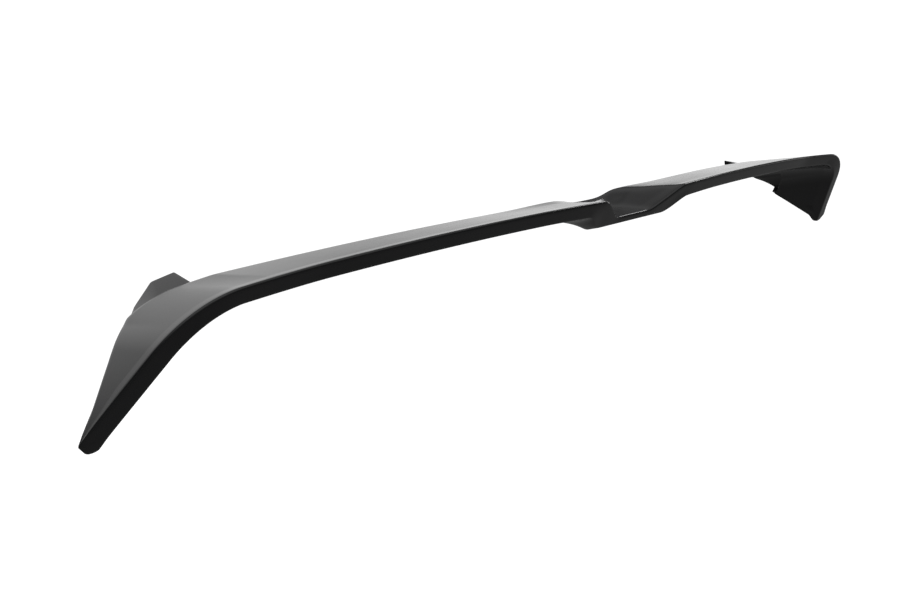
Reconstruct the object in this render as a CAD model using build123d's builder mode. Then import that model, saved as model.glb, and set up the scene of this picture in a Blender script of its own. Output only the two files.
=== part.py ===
from build123d import *
from math import cos, radians, sin, tan
import os

# Roof spoiler for a hatchback, moulded in one piece.
# X runs across the car, Y forward and Z up. The deck is level.
# The origin is the middle of the bonding land under the front edge of the central trough.

# Span, measured along the trailing edge from the middle of the car
floor_half = 31.0  # half width of the trough's floor
wing_start = 70.0  # where the trough's side wall meets the wing
keel_half = 61.0  # half width of the flat keel under the trough
keel_end = 88.0  # where the keel's rear edge has risen to the wing's lip
keel_fade = 145.0  # where the keel has run out under the wing
bend_start = 501.0  # where the wing begins to turn down into the fin
crown_middle = 210.0  # highest point of each wing's crown
crown_radius = 4480.0
bend_radius = 103.0
fin_angle = 52.0  # the fin's slope below level, seen from behind

# Trailing edge, seen from above
sweep_rate = 0.128  # slope of the trailing edge at the end of the sweep
sweep_end = 412.0
sweep_fade = 444.0  # from here the trailing edge runs straight across
fin_sweep = 0.63  # forward slope of the fin's trailing edge
fin_sweep_lead = 4.0  # it sets in this far inside the bend

# Section, with distances measured forward from the trailing edge and down from the skin
lip_height = 15.6
lip_lean = 12.5  # how far the lip is undercut
fin_lip_height = 19.2
fin_lip_lean = 6.8
lip_top_radius = 2.0
lip_bottom_radius = 4.0
under_chord = 26.0  # the underside climbs steadily from the lip up to here
under_depth = 12.6
land_depth = 12.0  # over the bonding land
land_width = 22.0
blank_chord = 190.0
fin_toe = 4.9  # the fin's outer face turns in towards the front
toe_lead = 31.0  # the turn sets in this far inside the bend
toe_run = 90.0

# Front edge, seen from above
front_chord = 99.0  # at the middle of the car
front_sweep = 51.0  # how far the front edge has come forward at front_sweep_at
front_sweep_at = 450.0
crease_lead = 31.0  # the skin's edge overlaps the corner tab from this far inside the bend
crease_run = 72.0
crease_end_y = 188.4
fin_front_slope = 0.89  # the fin's front edge comes back this much for each step outwards

# Trough
trough_rear_y = 24.7  # the floor's rear edge lies this far ahead of the trailing edge
trough_depth = 20.7
trough_rise = 6.7  # the floor climbs towards the front
trough_break = 76.0  # from here a ramp climbs from the floor to the front edge
trough_front_drop = 1.0  # the ramp ends this far below the deck
ramp_overlap = 0.4  # how far the ramp is sunk into the floor
trough_lip = 7.5
trough_lip_lean = 6.0
keel_depth = 8.8  # under the level of the floor's rear edge
keel_chord = 45.0  # the keel is deepest here
trough_front_height = 14.6  # from the bonding land to the ramp's front end

# Corner tab: a roof-shaped flange, one side nearly level and one side along the fin
tab_ridge_out = 6.0  # the ridge's front end lies this far outside the start of the bend
tab_level_width = 25.0
tab_side_width = 31.0
tab_front_y = 203.0
tab_root_y = 150.0
tab_front_z = 1.3  # height of the tab's inner front corner over the deck
tab_root_z = -13.5
tab_fall = 10.4  # slope of the level side
tab_side = 44.7  # slope of the fin side
tab_front_depth = 10.0
tab_root_depth = 6.0
tab_side_depth = 7.0

# Recess inside the fin's upper front corner
recess_out = 39.0  # it begins this far outside the start of the bend
recess_width = 52.0
recess_chord = 97.0  # the recess runs from here to the front edge
recess_skin = 5.0  # skin left outside the recess

# Fin tip
tip_drop = 122.5  # the tip is cut level, this far below the deck
margin = 60.0  # cutting shapes run this far past the body
smooth_sections = 5  # sections under each smooth run of the skin

deck_z = trough_front_height + trough_front_drop
rear_edge_y = land_width / 2 - front_chord
floor_z = deck_z - trough_depth
tip_z = deck_z - tip_drop
fin_sweep_start = bend_start - fin_sweep_lead
toe_start = bend_start - toe_lead
toe_end = toe_start + toe_run
crease_start = bend_start - crease_lead
crease_end = crease_start + crease_run
tab_ridge = bend_start + tab_ridge_out
tab_inner = tab_ridge - tab_level_width
tab_outer = tab_ridge + tab_side_width
recess_start = bend_start + recess_out
recess_end = recess_start + recess_width


def ramp(s, start, end):
    """Distance gained when a slope grows evenly from 0 to 1 between start and end."""
    part = min(max(s, start), end) - start
    return part * part / (2 * (end - start)) + max(0.0, s - end)


def share(s, start, end):
    """0 before start, 1 after end and even in between."""
    return min(max((s - start) / (end - start), 0.0), 1.0)


def mix(first, second, part):
    return tuple(a + (b - a) * part for a, b in zip(first, second))


def even(start, end):
    return [start + (end - start) * i / (smooth_sections - 1) for i in range(smooth_sections)]


def crown_angle(s):
    return (s - crown_middle) / crown_radius


def crown_height(s):
    return crown_radius * (cos(crown_angle(s)) - cos(crown_angle(0.0)))


bend_turn = radians(fin_angle) - crown_angle(bend_start)
fin_start = bend_start + bend_radius * bend_turn


def span_point(s):
    """The trailing edge's x and z and the skin's slope at a distance s along the span."""
    wing = min(s, bend_start)
    first = crown_angle(wing)
    x = crown_middle + crown_radius * sin(first)
    z = crown_height(wing)
    slope = first
    if s > bend_start:
        slope = first + (min(s, fin_start) - bend_start) / bend_radius
        straight = max(0.0, s - fin_start)
        x += bend_radius * (sin(slope) - sin(first)) + straight * cos(slope)
        z -= bend_radius * (cos(first) - cos(slope)) + straight * sin(slope)
    return x, deck_z + z, slope


fin_run = (span_point(fin_start)[1] - tip_z) / sin(radians(fin_angle))
blank_end = fin_start + fin_run + margin  # the blank runs past the fin's tip and is trimmed there


def trailing_y(s):
    wing = sweep_rate * (ramp(s, 0.0, sweep_end) - ramp(s, sweep_end, sweep_fade))
    return rear_edge_y + wing + fin_sweep * ramp(s, fin_sweep_start, fin_start)


def closed_section(plane, corners):
    """Corners run from the lip's top edge forward, down and back to its bottom edge."""
    with BuildSketch(plane) as sketch:
        with BuildLine():
            Polyline(*corners, close=True)
        make_face()
        fillet(sketch.vertices().sort_by(Axis.X)[1], lip_bottom_radius)
        fillet(sketch.vertices().sort_by(Axis.X)[0], lip_top_radius)
    return sketch.sketch


def wing_corners(s):
    turned = share(s, bend_start, fin_start)
    toe = tan(radians(fin_toe)) * share(s, toe_start, toe_end)
    land = front_chord - land_width
    return [
        (0.0, 0.0),
        (blank_chord, -toe * blank_chord),
        (blank_chord, -toe * blank_chord - land_depth),
        (land, -toe * land - land_depth),
        (under_chord, -toe * under_chord - under_depth),
        mix((lip_lean, -lip_height), (fin_lip_lean, -fin_lip_height), turned),
    ]


def section_plane(s):
    """Local x runs forward along the chord, local y out of the skin."""
    x, z, slope = span_point(s)
    return Plane(origin=(x, trailing_y(s), z), x_dir=(0, 1, 0), z_dir=(cos(slope), 0, -sin(slope)))


def wing_section(s):
    return closed_section(section_plane(s), wing_corners(s))


def recess_section(s):
    toe = tan(radians(fin_toe)) * share(s, toe_start, toe_end)
    rear = (recess_chord, -toe * recess_chord - recess_skin)
    front = (blank_chord, -toe * blank_chord - recess_skin)
    with BuildSketch(section_plane(s)) as sketch:
        with BuildLine():
            Polyline(rear, front, (front[0], front[1] - margin), (rear[0], rear[1] - margin), close=True)
        make_face()
    return sketch.sketch


def trough_floor_z(chord):
    return floor_z + (chord - trough_rear_y) * tan(radians(trough_rise))


def trough_section(x):
    """An upright section through the trough, its side wall or the part of the wing over the keel."""
    wing_z = deck_z + crown_height(x)
    wing = [(trailing_y(x) + u, wing_z + v) for u, v in wing_corners(x)]
    nose_y = rear_edge_y + blank_chord
    floor_rear_y = rear_edge_y + trough_rear_y
    trough = [
        (floor_rear_y, floor_z),
        (nose_y, trough_floor_z(blank_chord)),
        (nose_y, 0.0),
        (rear_edge_y + front_chord - land_width, 0.0),
        (rear_edge_y + keel_chord, floor_z - keel_depth),
        (floor_rear_y + trough_lip_lean, floor_z - trough_lip),
    ]
    wall = share(x, floor_half, wing_start)
    rise = share(x, keel_half, keel_end)
    run_out = 1 - (1 - share(x, keel_half, keel_fade)) ** 2
    parts = [wall, wall, run_out, run_out, run_out, rise]
    plane = Plane(origin=(x, 0, 0), x_dir=(0, 1, 0), z_dir=(1, 0, 0))
    return closed_section(plane, [mix(a, b, part) for a, b, part in zip(trough, wing, parts)])


def front_y(x):
    """Front edge of the skin, an arc seen from above."""
    return rear_edge_y + front_chord + front_sweep * (x / front_sweep_at) ** 2


def tab_section(y, inner_z, depth):
    """The roof-shaped flange cut across at y: a level side, a ridge and a side that follows the fin."""
    fall = tan(radians(tab_fall))
    side = tan(radians(tab_side))
    front_ridge_z = tab_front_z - (tab_ridge - tab_inner) * fall
    ridge_x = (front_ridge_z - inner_z - tab_inner * fall + tab_ridge * side) / (side - fall)
    ridge_z = inner_z - (ridge_x - tab_inner) * fall
    outer_z = ridge_z - (tab_outer - ridge_x) * side
    low_ridge_x = ridge_x - depth * tan(radians((tab_side + tab_fall) / 2))
    plane = Plane(origin=(0, rear_edge_y + y, deck_z), x_dir=(1, 0, 0), z_dir=(0, -1, 0))
    with BuildSketch(plane) as sketch:
        with BuildLine():
            Polyline(
                (tab_inner, inner_z),
                (ridge_x, ridge_z),
                (tab_outer, outer_z),
                (tab_outer, outer_z - tab_side_depth),
                (low_ridge_x, ridge_z - depth),
                (tab_inner, inner_z - depth),
                close=True,
            )
        make_face()
    return sketch.sketch


with BuildPart() as half:
    trough_stations = [0.0, floor_half, keel_half, wing_start, keel_end, (keel_end + keel_fade) / 2]
    loft([trough_section(x) for x in trough_stations] + [wing_section(keel_fade)], ruled=True)
    # Ramp from the trough's floor up to the front edge
    break_z = trough_floor_z(trough_break)
    climb = (trough_front_height - break_z) / (front_chord - trough_break)
    with BuildSketch(Plane.YZ) as ramp_side:
        with BuildLine():
            Polyline(
                (rear_edge_y + trough_break, break_z),
                (rear_edge_y + blank_chord, break_z + climb * (blank_chord - trough_break)),
                (rear_edge_y + blank_chord, trough_floor_z(blank_chord) - ramp_overlap),
                (rear_edge_y + trough_break, break_z - ramp_overlap),
                close=True,
            )
        make_face()
    extrude(amount=wing_start)
    loft([wing_section(s) for s in even(keel_fade, bend_start)])
    loft([wing_section(s) for s in even(bend_start, fin_start)])
    loft([wing_section(fin_start), wing_section(blank_end)], ruled=True)
    # Front edge of the deck and of the skin over the corner tab
    far_y = rear_edge_y + blank_chord + 2 * margin
    crease_corner = (crease_end, rear_edge_y + crease_end_y)
    with BuildSketch(Plane.XY) as plan:
        with BuildLine():
            ThreePointArc(*[(x, front_y(x)) for x in (0.0, crease_start / 2, crease_start)])
            Polyline(
                (crease_start, front_y(crease_start)),
                crease_corner,
                (crease_end, far_y),
                (0.0, far_y),
                (0.0, front_y(0.0)),
            )
        make_face()
    extrude(amount=tip_drop + margin, both=True, mode=Mode.SUBTRACT)
    # Corner tab
    tab_root = tab_section(tab_root_y, tab_root_z, tab_root_depth)
    tab_front = tab_section(tab_front_y, tab_front_z, tab_front_depth)
    loft([tab_root, tab_front], ruled=True)
    # Recess inside the fin's upper front corner
    loft([recess_section(s) for s in even(recess_start, recess_end)], mode=Mode.SUBTRACT)
    # Fin's front edge
    fin_reach = blank_end - crease_end
    with BuildSketch(Plane.XY) as fin_plan:
        with BuildLine():
            Polyline(
                (crease_end - margin, crease_corner[1] + margin * fin_front_slope),
                (blank_end, crease_corner[1] - fin_reach * fin_front_slope),
                (blank_end, far_y + margin),
                (crease_end - margin, far_y + margin),
                close=True,
            )
        make_face()
    extrude(amount=tip_drop + margin, both=True, mode=Mode.SUBTRACT)
    # Fin's tip
    with BuildSketch(Plane.XY.offset(tip_z)) as tip:
        Rectangle(2 * blank_end, 2 * far_y + 2 * blank_chord)
    extrude(amount=-fin_run - margin, mode=Mode.SUBTRACT)

with BuildPart() as spoiler_body:
    add(half.part)
    mirror(about=Plane.YZ)

spoiler_body.part.label = "spoiler_body"
os.makedirs("parts", exist_ok=True)
export_step(spoiler_body.part, "parts/spoiler_body.step")
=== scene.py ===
import math

import bpy
import numpy as np
from mathutils import Matrix


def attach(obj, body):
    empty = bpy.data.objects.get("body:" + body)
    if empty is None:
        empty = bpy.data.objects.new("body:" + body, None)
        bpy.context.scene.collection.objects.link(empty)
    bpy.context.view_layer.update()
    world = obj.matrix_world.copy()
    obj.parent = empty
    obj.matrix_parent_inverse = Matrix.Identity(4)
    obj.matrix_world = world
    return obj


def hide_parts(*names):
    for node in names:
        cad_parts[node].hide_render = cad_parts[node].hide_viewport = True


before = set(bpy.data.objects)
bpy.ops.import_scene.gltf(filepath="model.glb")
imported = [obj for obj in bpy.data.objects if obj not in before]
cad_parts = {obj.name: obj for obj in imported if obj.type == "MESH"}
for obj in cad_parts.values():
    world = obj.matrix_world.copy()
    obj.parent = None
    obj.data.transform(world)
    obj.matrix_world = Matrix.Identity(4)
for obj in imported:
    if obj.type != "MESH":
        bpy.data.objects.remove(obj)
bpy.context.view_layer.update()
print("loaded", sorted(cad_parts))

mm = 0.001

# millimetres throughout: s runs along the trailing edge from the middle of the car,
# u is the chord forward of that edge and v the height over it
body = dict(
    crownMiddle=210.0, crownRadius=4480.0, bendStart=501.0, bendRadius=103.0, finAngle=math.radians(52.0),
    rearY=-88.0, sweepRate=0.128, sweepEnd=412.0, sweepFade=444.0, finSweep=0.63, finSweepStart=497.0,
    toe=math.tan(math.radians(4.9)), toeStart=470.0, toeEnd=560.0,
    frontChord=99.0, frontSweep=51.0, frontSweepAt=450.0,  # front edge in plan: an arc
    creaseStart=470.0, crease=(542.0, 188.4), finFront=0.89,  # then a crease line, then the fin's line
    lip=(12.5, 15.6), finLip=(6.8, 19.2), under=(26.0, 12.6), land=(77.0, 12.0),  # chord and depth
    landShare=0.8, underShare=0.5,  # where land and under point go when the chord gets short
    recess=(540.0, 592.0), recessEase=(1.5, 4.0), recessChord=97.0, recessSkin=5.0,
    recessGap=1.5, stepHeight=0.05, stepLean=0.02,
    rollChord=20.0, rollDrop=-0.45, frontRoll=9.0, frontRollDrop=1.1, rollFade=(12.0, 40.0), rollShare=0.3,
    middleShare=0.6, shoulder=(60.0, 55.0, 3.0), shoulderShares=(0.4, 0.9),  # centre, width and height
    floorHalf=31.0, wingStart=70.0, troughMiddle=(28.0, 61.0), troughFront=(18.0, 50.0),  # the wall's runs
    wallBlur=7.0, frontBlur=10.5,  # the wall's creases are rounded over this much
    troughRear=24.7, troughDepth=20.7, troughRise=math.tan(math.radians(6.7)), troughLip=(6.0, 7.5),
    troughBreak=76.0, troughCrown=0.1, troughRollDrop=2.6, frontDrop=1.0, frontHeight=14.6,
    keel=(45.0, 8.8), keelHalf=65.0, keelEnd=88.0, keelFade=160.0, keelLand=22.0, keelStep=(4.0, 0.04),
    tipDrop=122.5, tipRound=3.5, tipSliver=0.12, tipCrossing=0.98, shearStart=592.0, shearEnd=632.0,
    # lip top, rear roll, trough break, front roll, nose top, nose bottom, step, step, land, under, lip bottom
    radii=(2.0, 80.0, 30.0, 60.0, 3.0, 1.2, 0.6, 0.6, 12.0, 12.0, 3.6),
    sideSteps=(2, 14, 10, 3, 3, 2, 1, 4, 5, 4, 4), arcSteps=7,
    rows=((0, 22, 5), (22, 96, 38), (96, 145, 12), (145, 464, 36), (464, 538, 34), (538, 544, 9),
          (544, 590, 20), (590, 596, 9)), finRows=40, tipRows=9,
    sharp=38,
)
body["deckZ"] = body["frontDrop"] + body["frontHeight"]
body["turnAtBend"] = (body["bendStart"] - body["crownMiddle"]) / body["crownRadius"]
body["finStart"] = body["bendStart"] + body["bendRadius"] * (body["finAngle"] - body["turnAtBend"])


# distance gained while a slope grows evenly from 0 to 1 between start and end, then stays 1
def ramp(s, start, end):
    part = np.clip(s, start, end) - start
    return part * part / (2 * (end - start)) + np.maximum(0.0, s - end)


# 0 before start, 1 after end, straight in between
def share(s, start, end):
    return np.clip((s - start) / (end - start), 0.0, 1.0)


# the same step with both corners rounded: the difference of two rounded ramps
def softShare(s, start, end, blur):
    return (ramp(s, start - blur, start + blur) - ramp(s, end - blur, end + blur)) / (end - start)


# trailing edge seen from behind: a shallow crown arc, then a tight arc down, then the straight fin
def spanPoint(s):
    c = body
    first = (np.clip(s, 0, c["bendStart"]) - c["crownMiddle"]) / c["crownRadius"]
    x = c["crownMiddle"] + c["crownRadius"] * np.sin(first)
    z = c["crownRadius"] * (np.cos(first) - math.cos(c["crownMiddle"] / c["crownRadius"]))
    slope = first + (np.clip(s, c["bendStart"], c["finStart"]) - c["bendStart"]) / c["bendRadius"]
    straight = np.maximum(0.0, s - c["finStart"])
    x = x + c["bendRadius"] * (np.sin(slope) - np.sin(first)) + straight * np.cos(slope)
    z = z - c["bendRadius"] * (np.cos(first) - np.cos(slope)) - straight * np.sin(slope)
    return x, z + c["deckZ"], slope


# trailing edge seen from above: a slow sweep forward, straight across, then the fin's sweep
def trailingY(s):
    c = body
    wing = c["sweepRate"] * (ramp(s, 0.0, c["sweepEnd"]) - ramp(s, c["sweepEnd"], c["sweepFade"]))
    return c["rearY"] + wing + c["finSweep"] * ramp(s, c["finSweepStart"], c["finStart"])


# how far the skin toes in for each unit of chord: nothing on the wing, all of it on the fin
def toeRate(s):
    return body["toe"] * share(s, body["toeStart"], body["toeEnd"])


# chord at which the skin, at a depth under it, meets the plan outline: arc, crease line, then the fin's line
def frontChord(s, depth):
    c = body
    x, z, slope = spanPoint(s)
    y = trailingY(s) - c["rearY"]
    lean = toeRate(s) * np.sin(slope)
    creaseX, creaseY = c["crease"]
    xTop = x - depth * np.sin(slope)
    arc = c["frontChord"] + c["frontSweep"] * (xTop / c["frontSweepAt"]) ** 2 - y
    startY = c["frontChord"] + c["frontSweep"] * (c["creaseStart"] / c["frontSweepAt"]) ** 2
    rise = (creaseY - startY) / (creaseX - c["creaseStart"])
    crease = (startY + rise * (xTop - c["creaseStart"]) - y) / (1 + rise * lean)
    fin = (creaseY - c["finFront"] * (xTop - creaseX) - y) / (1 - c["finFront"] * lean)
    return np.minimum(np.where(xTop < c["creaseStart"], arc, crease), fin)


# depth of the underside: falls from the lip's bottom edge to the under point, then to the land
def underDepth(u, lipU, lipV):
    underU, underV = body["under"]
    landU, landV = body["land"]
    return lipV + (underV - lipV) * share(u, lipU, underU) + (landV - underV) * share(u, underU, landU)


# polygon with round corners: at each corner an arc between the two tangent points, straight sides between
def roundedLoop(corners, radii, arcSteps, sideSteps):
    count = corners.shape[1]
    arcs, starts, ends = [], [], []
    for i in range(count):
        here = corners[:, i]
        toPrev = corners[:, i - 1] - here
        toNext = corners[:, (i + 1) % count] - here
        lenPrev = np.linalg.norm(toPrev, axis=1, keepdims=True) + 1e-9
        lenNext = np.linalg.norm(toNext, axis=1, keepdims=True) + 1e-9
        toPrev = toPrev / lenPrev
        toNext = toNext / lenNext
        half = np.arccos(np.clip((toPrev * toNext).sum(1, keepdims=True), -0.99999, 0.99)) / 2
        reach = np.minimum(radii[i] / np.tan(half), 0.46 * np.minimum(lenPrev, lenNext))  # never past half a side
        middle = toPrev + toNext
        middle = middle / (np.linalg.norm(middle, axis=1, keepdims=True) + 1e-9)
        centre = (here + middle * reach / np.cos(half))[:, None, :]
        starts.append((here + toPrev * reach)[:, None, :])
        ends.append((here + toNext * reach)[:, None, :])
        turn = np.pi - 2 * half[:, :, None]
        t = np.linspace(0, 1, arcSteps)[None, :, None]
        bow = np.sin((1 - t) * turn) * (starts[i] - centre) + np.sin(t * turn) * (ends[i] - centre)
        arcs.append(centre + bow / np.sin(turn))
    loop = []
    for i in range(count):
        t = np.linspace(0, 1, sideSteps[i] + 2)[None, 1:-1, None]
        loop += [arcs[i], ends[i] + (starts[(i + 1) % count] - ends[i]) * t]
    return np.concatenate(loop, axis=1)


# wing section: lip, deck with a roll at each end, nose cut by the plan outline, underside with the recess;
# the front chord and the slide along the span depend on each other, so they are settled together
def wingCorners(s, shear):
    c = body
    toe = toeRate(s)
    turned = share(s, c["bendStart"], c["finStart"])
    lipU = c["lip"][0] + (c["finLip"][0] - c["lip"][0]) * turned
    lipV = c["lip"][1] + (c["finLip"][1] - c["lip"][1]) * turned
    opens, closes = c["recess"]
    inRecess = share(s, opens, opens + c["recessEase"][0]) * (1 - share(s, closes, closes + c["recessEase"][1]))
    topU = frontChord(s, 0 * s)
    lowU = frontChord(s, c["land"][1] + 0 * s)
    for settle in range(8):
        frontDepth = underDepth(lowU, lipU, lipV)
        noseDepth = frontDepth + (c["recessSkin"] - frontDepth) * inRecess
        topU = frontChord(s - shear * toe * topU, 0 * s)
        lowU = frontChord(s - shear * (toe * lowU + noseDepth), noseDepth)
    noseTop = np.stack([topU, -toe * topU], 1)
    noseLow = np.stack([lowU, -toe * lowU - noseDepth], 1)
    # near the tip the front line crosses the lip: the lip's top edge then starts at the crossing
    lipSide = np.stack([lipV, lipU], 1)
    sideTop = (noseTop * lipSide).sum(1)
    sideLow = (noseLow * lipSide).sum(1)
    crossing = np.where(sideTop < 0, np.clip(sideTop / (sideTop - sideLow), 0, c["tipCrossing"]), 0)[:, None]
    whole = crossing == 0
    noseTop = noseTop + (noseLow - noseTop) * crossing
    lipTop = np.where(whole, [0.0, -c["rollDrop"]], noseTop - [c["tipSliver"], 0.0])
    chord = np.maximum(topU, 1.0)[:, None]
    roll = lipTop + (noseTop - lipTop) * np.minimum(c["rollChord"] / chord, c["rollShare"])
    roll = roll + [0.0, c["rollDrop"]] * whole
    middle = roll + (noseTop - roll) * c["middleShare"]
    frontRoll = noseTop + (roll - noseTop) * np.minimum(c["frontRoll"] / chord, c["rollShare"])
    noseTop = noseTop - [0.0, c["frontRollDrop"]] * whole * share(topU, *c["rollFade"])[:, None]
    centre, width, height = c["shoulder"]
    shoulder = (height * np.exp(-((s - centre) / width) ** 2))[:, None] * [0.0, 1.0]
    stepU = np.minimum(c["recessChord"], lowU - c["recessGap"])
    stepDeep = underDepth(stepU, lipU, lipV)
    stepThin = stepDeep - c["stepHeight"] + (c["recessSkin"] + c["stepHeight"] - stepDeep) * inRecess
    landU = np.minimum(c["land"][0], lipU + c["landShare"] * (stepU - lipU))
    underU = np.minimum(c["under"][0], lipU + c["underShare"] * (landU - lipU))
    return np.stack([
        lipTop,
        roll,
        middle + shoulder * c["shoulderShares"][0],
        frontRoll + shoulder * c["shoulderShares"][1],
        noseTop + shoulder,
        noseLow,
        np.stack([stepU, -toe * stepU - stepThin], 1),
        np.stack([stepU - c["stepLean"], -toe * stepU - stepDeep], 1),
        np.stack([landU, -toe * landU - underDepth(landU, lipU, lipV)], 1),
        np.stack([underU, -toe * underU - underDepth(underU, lipU, lipV)], 1),
        np.stack([lipU, -lipV], 1),
    ], 1)


# trough section: a sloping floor to the break, a ramp up to the front edge, and the keel below,
# measured from the trailing edge at each s
def troughCorners(s):
    c = body

    def at(y, z):
        return np.stack([y + 0 * s, z + 0 * s], 1)

    front = c["frontChord"] + c["frontSweep"] * (s / c["frontSweepAt"]) ** 2
    rear, deep, bottom = c["troughRear"], -c["troughDepth"], -c["deckZ"]
    stepY = c["recessChord"] - c["keelStep"][0]
    corners = np.stack([
        at(rear, deep),
        at(rear + c["rollChord"], deep + c["rollChord"] * c["troughRise"] + c["troughCrown"]),
        at(c["troughBreak"], deep + (c["troughBreak"] - rear) * c["troughRise"]),
        at(front - c["frontRoll"], -c["frontDrop"] - c["troughRollDrop"]),
        at(front, -c["frontDrop"]),
        at(front, bottom),
        at(stepY, bottom + c["keelStep"][1]),
        at(stepY - c["stepLean"], bottom),
        at(c["frontChord"] - c["keelLand"], bottom),
        at(c["keel"][0], deep - c["keel"][1]),
        at(rear + c["troughLip"][0], deep - c["troughLip"][1]),
    ], 1)
    return corners - at(trailingY(s) - c["rearY"], spanPoint(s)[1] - c["deckZ"])[:, None, :]


# section corners for every s: the trough's blended into the wing's over its wall, its keel and the keel's run-out
def bodyCorners(s, shear):
    c = body
    wall = softShare(s, c["floorHalf"], c["wingStart"], c["wallBlur"])
    wallMiddle = softShare(s, *c["troughMiddle"], c["frontBlur"])
    wallFront = softShare(s, *c["troughFront"], c["frontBlur"])
    rise = softShare(s, c["keelHalf"], c["keelEnd"], c["wallBlur"])
    runOut = 1 - (1 - share(s, c["keelHalf"], c["keelFade"])) ** 2
    part = np.stack([wall, wall, wallMiddle, wallFront, wallFront] + [runOut] * 5 + [rise], 1)[:, :, None]
    trough = troughCorners(s)
    return trough + (wingCorners(s, shear) - trough) * part


# chord u and height v on the section at s, put into space: the section leans with the span beyond the keel
def placeLoop(s, u, v):
    x, z, slope = spanPoint(s)
    lean = slope * share(s, body["wingStart"], body["keelFade"])
    return np.stack([x + v * np.sin(lean), trailingY(s) + u, z + v * np.cos(lean)], -1)


# half of the body: each ring put on the span, near the tip slid along it by its height so that the tip is cut level,
# and the last rings drawn in as a quarter circle
def bodyHalf():
    c = body
    finTop = spanPoint(np.array([c["finStart"]]))[1][0]
    tipS = c["finStart"] + (finTop - (c["deckZ"] - c["tipDrop"])) / math.sin(c["finAngle"])
    roundS = tipS - c["tipRound"]
    rows = c["rows"] + ((c["rows"][-1][1], roundS, c["finRows"]),)
    s = [np.linspace(*row)[:-1] for row in rows]
    s = np.concatenate(s + [roundS + c["tipRound"] * np.sin(np.linspace(0, 1.54, c["tipRows"]))])
    level = 1 / math.tan(c["finAngle"])
    shear = level * ramp(s, c["shearStart"], c["shearEnd"]) / (c["shearEnd"] - c["shearStart"])
    shear = np.minimum(shear, level)
    loop = roundedLoop(bodyCorners(s, shear), c["radii"], c["arcSteps"], c["sideSteps"])
    late = np.clip((s - tipS) / c["tipRound"] + 1, 0, 1)[:, None, None]
    centre = loop.mean(1, keepdims=True)
    loop = centre + (loop - centre) * np.sqrt(1 - late ** 2)
    u, v = loop[:, :, 0], loop[:, :, 1]
    return placeLoop(s[:, None] + shear[:, None] * v, u, v)


# a grid of points made into quads, closed around, with each end closed by a fan to its middle point
def gridMesh(name, points):
    rows, cols = points.shape[:2]
    index = np.arange(rows * cols).reshape(rows, cols)
    a, b = index[:-1], index[1:]
    quads = np.stack([a, b, np.roll(b, -1, 1), np.roll(a, -1, 1)], -1).reshape(-1, 4)
    verts = np.concatenate([points.reshape(-1, 3), points[0].mean(0)[None], points[-1].mean(0)[None]])
    first = np.stack([np.full(cols, rows * cols), index[0], np.roll(index[0], -1)], 1)
    last = np.stack([np.full(cols, rows * cols + 1), np.roll(index[-1], -1), index[-1]], 1)
    mesh = bpy.data.meshes.new(name)
    mesh.from_pydata((verts * mm).tolist(), [], quads.tolist() + first.tolist() + last.tolist())
    mesh.polygons.foreach_set("use_smooth", np.ones(len(mesh.polygons), bool))
    mesh.update()
    return mesh


pieces = []


# a piece of the spoiler: smooth, but sharp where faces meet at more than the angle
def addPiece(name, points, angle):
    mesh = gridMesh(name, points)
    mesh.set_sharp_from_angle(angle=math.radians(angle))
    piece = bpy.data.objects.new(name, mesh)
    bpy.context.scene.collection.objects.link(piece)
    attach(piece, "root")
    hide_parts("spoiler_body")
    pieces.append(piece)


half = bodyHalf()
mirrorX = np.array([-1.0, 1.0, 1.0])
addPiece("spoilerShell", np.concatenate([half[::-1] * mirrorX, half[1:]]), body["sharp"])
print("shell", len(pieces[0].data.polygons), "faces")

# corner tab: a roof-shaped flange ahead of the skin's edge, level on one side and along the fin on the other
tab = dict(
    inner=482.0, ridge=507.0, outer=537.0, frontY=203.0, rootY=150.0, frontZ=1.3, rootZ=-13.5,
    fall=math.radians(10.4), side=math.radians(44.7), frontDepth=7.0, rootDepth=4.0, sideDepth=2.5,
    ridgeMargin=8.0, lift=9.0,  # the fin's side rises by this much towards the root
    sunk=(30.0, 9.0),  # the root runs this far back and up into the skin
    trim=(0.8, 0.5), easeStart=0.955, ease=0.5,
    radii=(1.2, 8.0, 0.6, 0.6, 2.0, 0.8), sideSteps=(6, 8, 2, 8, 6, 2), arcSteps=7, sharp=40,
)


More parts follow.
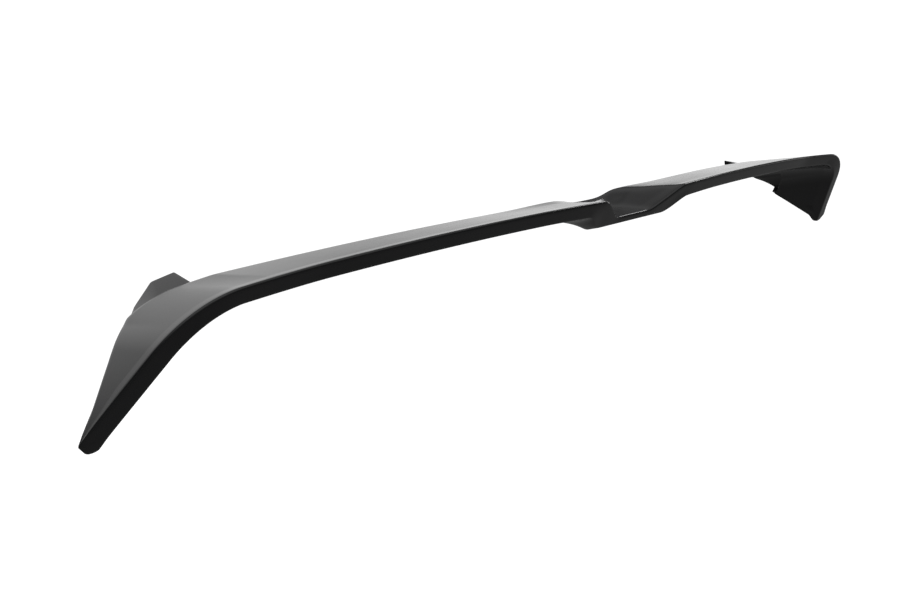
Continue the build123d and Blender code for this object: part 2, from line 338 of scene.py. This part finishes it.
# section ring at each y: inner corner, ridge, outer corner and the same below; the ridge is where the slopes meet,
# y stops at the fin's line, and the last rings draw in by half a millimetre to ease the front edge
def tabRings():
    c = tab
    fall, side = math.tan(c["fall"]), math.tan(c["side"])
    t = np.concatenate([np.zeros(4), np.linspace(0, 0.96, 18), np.linspace(0.97, 1.0, 4)])
    sunk = np.concatenate([np.linspace(1, 0.25, 4), np.zeros(22)])
    innerZ = c["rootZ"] + (c["frontZ"] - c["rootZ"]) * t + c["sunk"][1] * sunk
    depth = c["rootDepth"] + (c["frontDepth"] - c["rootDepth"]) * t
    frontRidgeZ = c["frontZ"] - (c["ridge"] - c["inner"]) * fall
    ridgeX = (frontRidgeZ - innerZ - c["inner"] * fall + c["ridge"] * side) / (side - fall)
    ridgeX = np.clip(ridgeX, c["inner"] + c["ridgeMargin"], c["outer"] - c["ridgeMargin"])
    ridgeZ = innerZ - (ridgeX - c["inner"]) * fall
    outerZ = ridgeZ - (c["outer"] - ridgeX) * side
    lowX = ridgeX - depth * math.tan((c["side"] + c["fall"]) / 2)
    inner, outer = c["inner"] + 0 * t, c["outer"] + 0 * t
    corners = np.stack([
        np.stack([inner, innerZ], 1),
        np.stack([ridgeX, ridgeZ], 1),
        np.stack([outer, outerZ], 1),
        np.stack([outer, outerZ - c["sideDepth"]], 1),
        np.stack([lowX, ridgeZ - depth], 1),
        np.stack([inner, innerZ - depth], 1),
    ], 1)
    loop = roundedLoop(corners, c["radii"], c["arcSteps"], c["sideSteps"])
    toRoot = (1 - t)[:, None]
    loop[:, :, 1] += c["lift"] * toRoot * share(loop[:, :, 0], ridgeX[:, None], c["outer"])
    y = (c["rootY"] + (c["frontY"] - c["rootY"]) * t - c["sunk"][0] * sunk)[:, None]
    finLine = body["crease"][1] - body["finFront"] * (loop[:, :, 0] - body["crease"][0])
    y = np.minimum(y, finLine + c["trim"][0] - c["trim"][1] * toRoot)
    ease = 1 - np.sqrt(1 - share(t, c["easeStart"], 1.0) ** 2)
    inwards = loop.mean(1, keepdims=True) - loop
    inwards = inwards / (np.linalg.norm(inwards, axis=2, keepdims=True) + 1e-9)
    loop = loop + inwards * c["ease"] * ease[:, None, None]
    return np.stack([loop[:, :, 0], y + body["rearY"], loop[:, :, 1] + body["deckZ"]], -1)


rings = tabRings()
addPiece("tabRight", rings[:, ::-1], tab["sharp"])
addPiece("tabLeft", rings * mirrorX, tab["sharp"])
print("tabs", len(pieces[1].data.polygons), "faces each")


# a value socket with arithmetic: each operator adds a Math node
class Val:
    def __init__(self, tree, socket):
        self.tree = tree
        self.socket = socket

    def math(self, op, other, swap=False):
        node = self.tree.nodes.new("ShaderNodeMath")
        node.operation = op
        first, second = (1, 0) if swap else (0, 1)
        self.tree.links.new(self.socket, node.inputs[first])
        if isinstance(other, Val):
            self.tree.links.new(other.socket, node.inputs[second])
        else:
            node.inputs[second].default_value = other
        return Val(self.tree, node.outputs[0])

    def __add__(self, other):
        return self.math("ADD", other)

    def __radd__(self, other):
        return self.math("ADD", other, True)

    def __sub__(self, other):
        return self.math("SUBTRACT", other)

    def __rsub__(self, other):
        return self.math("SUBTRACT", other, True)

    def __mul__(self, other):
        return self.math("MULTIPLY", other)

    def __rmul__(self, other):
        return self.math("MULTIPLY", other, True)

    def node(self, kind, inputs, output=0, mode=None):
        made = self.tree.nodes.new(kind)
        if kind == "ShaderNodeVectorMath":
            made.operation = mode
        elif mode:
            made.interpolation_type = mode
        for key, value in inputs.items():
            if isinstance(value, Val):
                self.tree.links.new(value.socket, made.inputs[key])
            else:
                made.inputs[key].default_value = value
        return Val(self.tree, made.outputs[output])

    def grey(self):
        return self.node("ShaderNodeCombineColor", {"Red": self, "Green": self, "Blue": self})


paint = dict(
    peel=(420.0, 2.0, 0.5), cloud=(9.0, 4.0, 0.6), wipe=(3.0, 5.0, 0.65), dust=(1500.0, 1.0, 0.4),  # noises
    wipeStretch=(6.0, 90.0, 90.0), dustFrom=0.68, dustGain=3.0,
    rough=(0.10, 0.07, 0.05, 0.3),  # base, then what cloud, wipe and specks add
    level=(0.009, 0.004, 0.05), blue=1.06,  # base, then what cloud and specks add
    bump=(0.03, 0.0004), ior=1.5, specular=0.36,
)


# gloss black moulding: a near-black base with fine specks, faint wipe marks and a slight orange peel
def glossBlack():
    c = paint
    material = bpy.data.materials.new("glossBlack")
    material.use_nodes = True
    tree = material.node_tree
    shader = tree.nodes["Principled BSDF"]
    place = Val(tree, tree.nodes.new("ShaderNodeTexCoord").outputs["Object"])

    def noise(vector, scale, detail, rough):
        return place.node("ShaderNodeTexNoise", {
            "Vector": vector, "Scale": scale, "Detail": detail, "Roughness": rough})

    cloud = noise(place, *c["cloud"])
    wipe = noise(place.node("ShaderNodeMapping", {"Vector": place, "Scale": c["wipeStretch"]}), *c["wipe"])
    speck = (noise(place, *c["dust"]) - c["dustFrom"]).math("MAXIMUM", 0.0) * c["dustGain"]
    rough = c["rough"][0] + cloud * c["rough"][1] + wipe * c["rough"][2] + speck * c["rough"][3]
    level = c["level"][0] + cloud * c["level"][1] + speck * c["level"][2]
    colour = place.node("ShaderNodeCombineColor", {"Red": level, "Green": level, "Blue": level * c["blue"]})
    bump = place.node("ShaderNodeBump", {
        "Height": noise(place, *c["peel"]), "Strength": c["bump"][0], "Distance": c["bump"][1]})
    tree.links.new(colour.socket, shader.inputs["Base Color"])
    tree.links.new(rough.socket, shader.inputs["Roughness"])
    tree.links.new(bump.socket, shader.inputs["Normal"])
    shader.inputs["IOR"].default_value = c["ior"]
    shader.inputs["Specular IOR Level"].default_value = c["specular"]
    return material


gloss = glossBlack()
for piece in pieces:
    piece.data.materials.clear()
    piece.data.materials.append(gloss)
print("material set")

# stage, in metres: a wide floor well below the part, white to the camera like the backdrop, dim in reflections
stageFloor = dict(drop=1.6, radius=9.0, steps=96, white=1.05, grey=0.25)


# a flat disc: points evenly round a circle, one face
def makeFloor():
    c = stageFloor
    angle = np.linspace(0, 2 * np.pi, c["steps"], endpoint=False)
    rim = np.stack([c["radius"] * np.cos(angle), c["radius"] * np.sin(angle), 0 * angle - c["drop"]], 1)
    mesh = bpy.data.meshes.new("stageFloor")
    mesh.from_pydata(rim.tolist(), [], [list(range(c["steps"]))])
    mesh.update()
    disc = bpy.data.objects.new("stageFloor", mesh)
    bpy.context.scene.collection.objects.link(disc)
    pale = bpy.data.materials.new("paleFloor")
    pale.use_nodes = True
    tree = pale.node_tree
    shader = tree.nodes["Principled BSDF"]
    shader.inputs["Base Color"].default_value = (c["grey"], c["grey"], c["grey"], 1)
    shader.inputs["Roughness"].default_value = 1.0
    shader.inputs["Specular IOR Level"].default_value = 0.0
    shader.inputs["Emission Strength"].default_value = 1.0
    seen = Val(tree, tree.nodes.new("ShaderNodeLightPath").outputs["Is Camera Ray"])
    tree.links.new((seen * c["white"]).grey().socket, shader.inputs["Emission Color"])
    mesh.materials.append(pale)
    return disc


floor = makeFloor()
print("floor set")

# glows of the room: direction, where they start and are full, level; the others are by height alone
studio = dict(
    right=((0.93, 0.36, 0.0), 0.42, 1.0, 1.0), rightTop=(0.26, 0.08, 1.0), rightFoot=(-0.2, -0.02, 1.0),
    ahead=((0.28, 0.95, -0.16), 0.9, 0.985, 0.9), aheadTop=(0.02, -0.1, 1.0),
    behind=((-0.35, -0.55, 0.75), 0.45, 0.95, 0.7),
    above=((0.18, 0.9, 0.4), 0.87, 1.0, 0.6),
    overhead=(0.25, 0.85, 0.42), ambient=0.07, backdrop=1.1,
)


# studio: a dim room whose level is the sum of the glows, and a plain white backdrop where the camera looks at it
def makeStudio():
    c = studio
    world = bpy.data.worlds.new("studio")
    bpy.context.scene.world = world
    world.use_nodes = True
    tree = world.node_tree
    shader = tree.nodes["Background"]
    place = Val(tree, tree.nodes.new("ShaderNodeTexCoord").outputs["Generated"])

    def step(value, low, high, top):
        return value.node("ShaderNodeMapRange", {
            "Value": value, "From Min": low, "From Max": high, "To Min": 0.0, "To Max": top}, 0, "SMOOTHSTEP")

    def facing(direction):
        return place.node("ShaderNodeVectorMath", {0: place, 1: direction}, 1, "DOT_PRODUCT")

    def glow(direction, low, high, top):
        return step(facing(direction), low, high, top)

    height = facing((0.0, 0.0, 1.0))
    right = glow(*c["right"]) * step(height, *c["rightTop"]) * step(height, *c["rightFoot"])
    ahead = glow(*c["ahead"]) * step(height, *c["aheadTop"])
    room = right + ahead + glow(*c["behind"]) + glow(*c["above"]) + step(height, *c["overhead"]) + c["ambient"]
    seen = Val(tree, tree.nodes.new("ShaderNodeLightPath").outputs["Is Camera Ray"])
    level = room + seen * (c["backdrop"] - room)
    tree.links.new(level.grey().socket, shader.inputs["Color"])
    shader.inputs["Strength"].default_value = 1.0


makeStudio()
bpy.context.scene.view_settings.view_transform = "Standard"


# an object made of data, its three axes as columns beside its place
def addPlaced(name, data, axes, spot):
    placed = bpy.data.objects.new(name, data)
    matrix = np.eye(4)
    matrix[:3] = np.stack([*axes, spot], 1)
    placed.matrix_world = Matrix(matrix.tolist())
    bpy.context.scene.collection.objects.link(placed)
    return placed


edgeLamp = dict(spot=(2.6, 0.15, 2.0), size=0.8, power=16)


# soft box that looks at the part's middle: back axis away from it, across axis level
def makeLamp():
    c = edgeLamp
    lamp = bpy.data.lights.new("edgeLamp", "AREA")
    lamp.shape = "RECTANGLE"
    lamp.size = lamp.size_y = c["size"]
    lamp.energy = c["power"]
    back = np.array(c["spot"]) / np.linalg.norm(c["spot"])
    across = np.cross([0, 0, 1.0], back)
    across = across / np.linalg.norm(across)
    addPlaced("edgeLamp", lamp, (across, np.cross(back, across), back), c["spot"])


makeLamp()
print("lights set")

# camera at the photo's place, in metres
photoCamera = dict(
    spot=(-0.838, -0.70595, 0.09761), right=(0.73533, -0.66458, -0.13279), forward=(0.64261, 0.74597, -0.17488),
    lens=34.98, sensor=36.0, near=0.01,
)


# right axis squared up against the forward one, up axis across both
def makeCamera():
    c = photoCamera
    data = bpy.data.cameras.new("photoCamera")
    data.sensor_width = c["sensor"]
    data.lens = c["lens"]
    data.clip_start = c["near"]
    forward = np.array(c["forward"]) / np.linalg.norm(c["forward"])
    right = np.array(c["right"]) - forward * (np.array(c["right"]) @ forward)
    right = right / np.linalg.norm(right)
    return addPlaced("photoCamera", data, (right, np.cross(right, forward), -forward), c["spot"])


bpy.context.scene.camera = makeCamera()
print("camera set")
